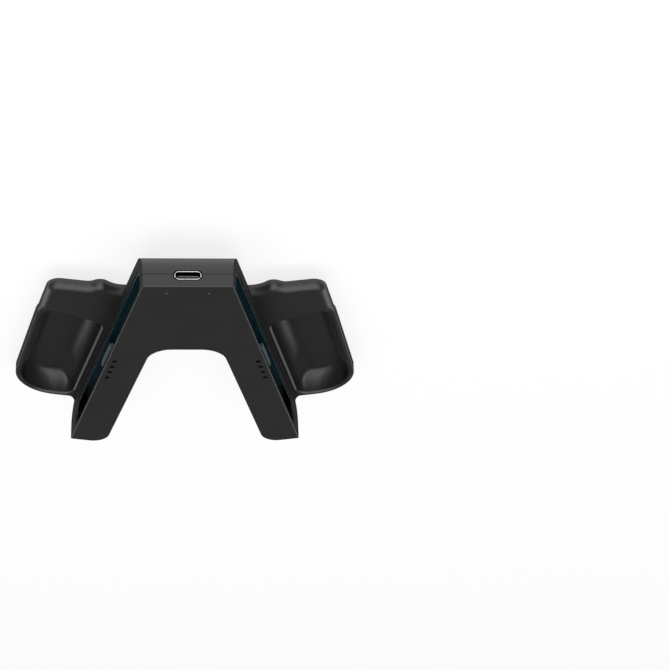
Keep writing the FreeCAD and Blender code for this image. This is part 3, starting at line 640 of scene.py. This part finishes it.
# Board screws
# Two small pan-head screws with a cross recess, in blackened steel, through the main board.
# The head bears on the board and the shank bites into a post of the front cover.
def screw_pattern(name, finish):
    """A pan head with a cross recess and a shank, head towards -Z, at every place of the seat."""
    rim_share = 0.6
    crown_share = 0.7
    bar_share = 0.28
    bar_lift = -1.1
    tree, sizes = pattern(name, ["Head Width", "Head Height", "Shank Width", "Shank Length", "Recess"])
    head_radius = sizes["Head Width"] * 0.5
    rim_height = sizes["Head Height"] * rim_share
    rim = tree.make("GeometryNodeMeshCylinder", {}, {
        "Vertices": 32, "Radius": head_radius, "Depth": rim_height,
    })
    rim = tree.make("GeometryNodeTransform", {}, {
        "Geometry": rim,
        "Translation": tree.make("ShaderNodeCombineXYZ", {}, {"Z": rim_height * -0.5}),
    })
    crown = tree.make("GeometryNodeMeshCone", {}, {
        "Vertices": 32, "Radius Top": head_radius, "Radius Bottom": head_radius * crown_share,
        "Depth": sizes["Head Height"] - rim_height,
    })
    crown = tree.make("GeometryNodeTransform", {}, {
        "Geometry": crown,
        "Translation": tree.make("ShaderNodeCombineXYZ", {}, {"Z": sizes["Head Height"] * -1}),
    })
    shank = tree.make("GeometryNodeMeshCylinder", {}, {
        "Vertices": 20, "Radius": sizes["Shank Width"] * 0.5, "Depth": sizes["Shank Length"],
    })
    shank = tree.make("GeometryNodeTransform", {}, {
        "Geometry": shank,
        "Translation": tree.make("ShaderNodeCombineXYZ", {}, {"Z": sizes["Shank Length"] * 0.5}),
    })
    bars = []
    for long, short in (("X", "Y"), ("Y", "X")):
        size = tree.make("ShaderNodeCombineXYZ", {}, {
            long: sizes["Recess"], short: sizes["Recess"] * bar_share, "Z": sizes["Head Height"],
        })
        bars.append(tree.make("GeometryNodeTransform", {}, {
            "Geometry": tree.make("GeometryNodeMeshCube", {}, {"Size": size}),
            "Translation": tree.make("ShaderNodeCombineXYZ", {}, {"Z": sizes["Head Height"] * bar_lift}),
        }))
    body = tree.make("GeometryNodeMeshBoolean", {"operation": "UNION"}, {"Mesh 2": [rim, crown, shank]})
    unit = tree.make(
        "GeometryNodeMeshBoolean", {"operation": "DIFFERENCE"}, {"Mesh 1": body, "Mesh 2": bars}
    )
    repeat_at(tree, sizes["Places"], unit, finish)
    return tree.tree


def screws(node, head_height, shank_width):
    """The screws of one CAD node, made again with pan heads and recesses."""
    boxes = [extent(points) for points in solids_of(node)]
    low, high = boxes[0]
    head_width = high.x - low.x
    mesh = grown(
        node + "_pan_heads", pan_head,
        [((low.x + high.x) / 2, (low.y + high.y) / 2, low.z + head_height) for low, high in boxes],
        {
            "Head Width": head_width, "Head Height": head_height, "Shank Width": shank_width,
            "Shank Length": high.z - low.z - head_height, "Recess": 0.5 * head_width,
        },
    )
    place_piece(mesh.name, mesh, [node])


black_steel = brushed_metal("black_steel", (0.09, 0.09, 0.095, 1), roughness=0.38, scratch=0.2 * mm)
pan_head = screw_pattern("pan_head_screw", black_steel)
screws("board_screws", head_height=1.0 * mm, shank_width=1.6 * mm)


# Ribbon cables
# A flat amber film with printed copper conductors, from the main board to each side board.
# Its ends are stiffened and soldered down; between them it lies against the rear cover.
def ribbon_film(name, conductor_pitch, turn):
    """Amber film over copper lines that run along the cable."""
    line_height = 0.01 * mm
    made, tree = bare_material(name)
    place = tree.make("ShaderNodeTexCoord", output="Object")
    along = tree.make("ShaderNodeMapping", {}, {"Vector": place, "Rotation": (0, 0, turn)})
    lines = tree.make(
        "ShaderNodeTexWave", {"wave_type": "BANDS", "bands_direction": "Z"},
        {"Vector": along, "Scale": math.pi / (10 * conductor_pitch)},
    )
    tone = tree.make(
        "ShaderNodeMix", {"data_type": "RGBA"},
        {0: lines, 6: (0.2, 0.07, 0.008, 1), 7: (0.42, 0.17, 0.04, 1)}, output=2,
    )
    relief = tree.make("ShaderNodeBump", {}, {"Height": lines, "Distance": line_height})
    surface(tree, {"Base Color": tone, "Roughness": 0.28 + lines * 0.1, "Normal": relief})
    return made


splay = math.radians(13.6)
conductor_pitch = 0.5 * mm
for side, turn in (("right", -splay), ("left", splay)):
    dress(side + "_ribbon_cable", ribbon_film(side + "_ribbon_film", conductor_pitch, turn))


# Magnets
# Nickel-plated blocks glued behind the rail above and below the connector.
# They pull the controller home in its slot.
nickel_plate = brushed_metal("nickel_plate", (0.62, 0.6, 0.56, 1), roughness=0.3, scratch=0.15 * mm)
for side in ("right", "left"):
    for place in ("upper", "lower"):
        dress(f"{side}_{place}_magnet", nickel_plate)


# Rails
# A glossy dark tray of slippery plastic lines each slot, so that a controller slides and seats in it.
# Moulded separately and snapped into the leg's outer side, with a hole for the connector.
# Towards the slot's foot the teal is painted down to black: painted shade, not the tray's own colour.
rail_plastic = moulded_plastic(
    "rail_plastic", dark=(0.002, 0.02, 0.028, 1), light=(0.003, 0.026, 0.035, 1), roughness=0.2,
    grain=1.5 * mm, pit=0.0004 * mm, edge=0.12 * mm, painted_shade_span=(-38 * mm, -22 * mm),
)
for side in ("right", "left"):
    moulding(side + "_rail", rail_plastic)


# Connectors
# A stiff plastic tongue stands in the middle of each slot, with eight gold strips on its front side.
# Tongue and strips are one insert, soldered to the side board behind the rail.
connector_plastic = moulded_plastic(
    "connector_plastic", dark=(0.09, 0.12, 0.13, 1), light=(0.12, 0.155, 0.165, 1), roughness=0.4,
    grain=0.12 * mm, pit=0.003 * mm, edge=0.2 * mm,
)
contact_crown = 0.05 * mm
for side, turn in (("right", splay), ("left", -splay)):
    moulding(side + "_connector_tongue", connector_plastic)
    square = Matrix.Rotation(-turn, 3, "Z")
    back = Matrix.Rotation(turn, 3, "Z")
    boxes = [extent([square @ p for p in points]) for points in solids_of(side + "_connector_contacts")]
    low, high = boxes[0]
    mesh = grown(
        side + "_connector_gold_strips", contact_strip,
        [back @ ((low + high) / 2) for low, high in boxes],
        {"Width": high.x - low.x, "Length": high.y - low.y, "Height": high.z - low.z,
         "Crown": contact_crown, "Turn": turn},
    )
    place_piece(mesh.name, mesh, [side + "_connector_contacts"])


# Rear cover
# The back half with both palm wings, one large moulding in the same black plastic.
# Its rounded port end and hollow palm rests are what the hands hold.
def raise_web_tips(work):
    """Let the tips of the webs between wings and feet follow the feet's rounded backs."""
    web_bottom, web_top = 7.3 * mm, 9.0 * mm
    tip_start, tip_end = -47.5 * mm, -50.6 * mm
    near_leg, clear_of_leg = 39.7 * mm, 40.3 * mm
    bottom_lift, top_lift = 2.7 * mm, 1.3 * mm
    for vert in work.verts:
        share = (vert.co.y - tip_start) / (tip_end - tip_start)
        if share < 0 or abs(vert.co.x) < near_leg:
            continue
        if abs(vert.co.z - web_bottom) < level:
            vert.co.z += bottom_lift * share
        elif abs(vert.co.z - web_top) < level and abs(vert.co.x) > clear_of_leg:
            vert.co.z += top_lift * share


moulding("rear_cover", black_plastic, raise_web_tips)


# Cover screws
# Six pan-head screws at the bottom of deep wells in the back, driven up into the front cover's posts.
# Same blackened steel as the board screws.
screws("cover_screws", head_height=1.8 * mm, shank_width=2.0 * mm)


# Studio
# A wide pale floor in a dim room, with a large softbox over the port end, one behind the camera
# and a low one at each side.
# The floor also glows a little for the camera and for reflections, so that it reads as white.
floor_size = 6.0
white = (1, 1, 1, 1)
paper_tone = (0.85, 0.85, 0.85, 1)
glow_strength = 1.1
glow_share = 0.75
room_strength = 0.13
half = floor_size / 2
floor_mesh = bpy.data.meshes.new("studio_floor")
floor_mesh.from_pydata(
    [(-half, -half, 0), (half, -half, 0), (half, half, 0), (-half, half, 0)], [], [(0, 1, 2, 3)]
)
floor = bpy.data.objects.new("studio_floor", floor_mesh)
bpy.context.scene.collection.objects.link(floor)
floor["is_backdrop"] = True
paper, tree = bare_material("studio_paper")
camera_ray = tree.make("ShaderNodeLightPath", output="Is Camera Ray")
glossy_ray = tree.make("ShaderNodeLightPath", output="Is Glossy Ray")
clear_ray = tree.make("ShaderNodeLightPath", output="Is Transmission Ray")
matt = tree.make("ShaderNodeBsdfDiffuse", {}, {"Color": paper_tone})
glow = tree.make("ShaderNodeEmission", {}, {"Color": white, "Strength": glow_strength})
lit = (camera_ray + glossy_ray + clear_ray) * glow_share
sheet = tree.make("ShaderNodeMixShader", {}, {0: lit, 1: matt, 2: glow})
tree.make("ShaderNodeOutputMaterial", {}, {"Surface": sheet})
floor_mesh.materials.append(paper)

room = bpy.data.worlds.new("studio_room")
room.use_nodes = True
room.node_tree.nodes.clear()
tree = Handle(room.node_tree)
dim = tree.make("ShaderNodeBackground", {}, {"Color": white, "Strength": room_strength})
tree.make("ShaderNodeOutputWorld", {}, {"Surface": dim})
bpy.context.scene.world = room


def softbox(name, place, aim, width, height, radiance):
    """A rectangular lamp of a given brightness, facing a point."""
    lamp = bpy.data.lights.new(name, "AREA")
    lamp.shape = "RECTANGLE"
    lamp.size = width
    lamp.size_y = height
    lamp.energy = radiance * math.pi * width * height
    stand = bpy.data.objects.new(name, lamp)
    stand.location = place
    stand.rotation_euler = (Vector(aim) - Vector(place)).to_track_quat("-Z", "Y").to_euler()
    bpy.context.scene.collection.objects.link(stand)


grip_middle = (0, 0, 0.01)
softbox("key_softbox", (0, 0.45, 1.05), grip_middle, width=2.2, height=1.5, radiance=1.6)
softbox("fill_softbox", (0, 1.5, 0.45), grip_middle, width=1.6, height=0.8, radiance=1.1)
for side, aside in (("right", 0.8), ("left", -0.8)):
    softbox(side + "_softbox", (aside, -0.88, 0.2), grip_middle, width=0.45, height=0.4, radiance=1.9)


# Camera
# It looks down from the port end and hangs upside down, so that the port end is the picture's top.
# Aimed by a point of the front face and the place that this point takes in the picture.
picture_pixels = 670
sensor = 36.0
focal_pixels = 2346.8
distance = 0.8119
tilt = math.radians(61.905)
yaw = math.radians(0.53)
roll = math.radians(0.026)
aim_point = Vector((0, 1.45 * mm, 23.1 * mm))
aim_pixel = (186.03, 365.97)
middle_pixel = (picture_pixels - 1) / 2
stance = (
    Matrix.Rotation(-tilt, 3, "X") @ Matrix.Rotation(-yaw, 3, "Y") @ Matrix.Rotation(roll, 3, "Z")
)
sight = Vector((
    (aim_pixel[0] - middle_pixel) / focal_pixels,
    (middle_pixel - aim_pixel[1]) / focal_pixels,
    -1,
))
swing = Vector((0, 0, -1)).rotation_difference(sight).to_matrix()
lens = bpy.data.cameras.new("photo_camera")
lens.sensor_width = sensor
lens.lens = focal_pixels * sensor / picture_pixels
camera = bpy.data.objects.new("photo_camera", lens)
place = aim_point + stance @ Vector((0, 0, distance))
camera.matrix_world = Matrix.Translation(place) @ (stance @ swing.transposed()).to_4x4()
bpy.context.scene.collection.objects.link(camera)
bpy.context.scene.camera = camera
bpy.context.scene.view_settings.view_transform = "Standard"

low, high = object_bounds()
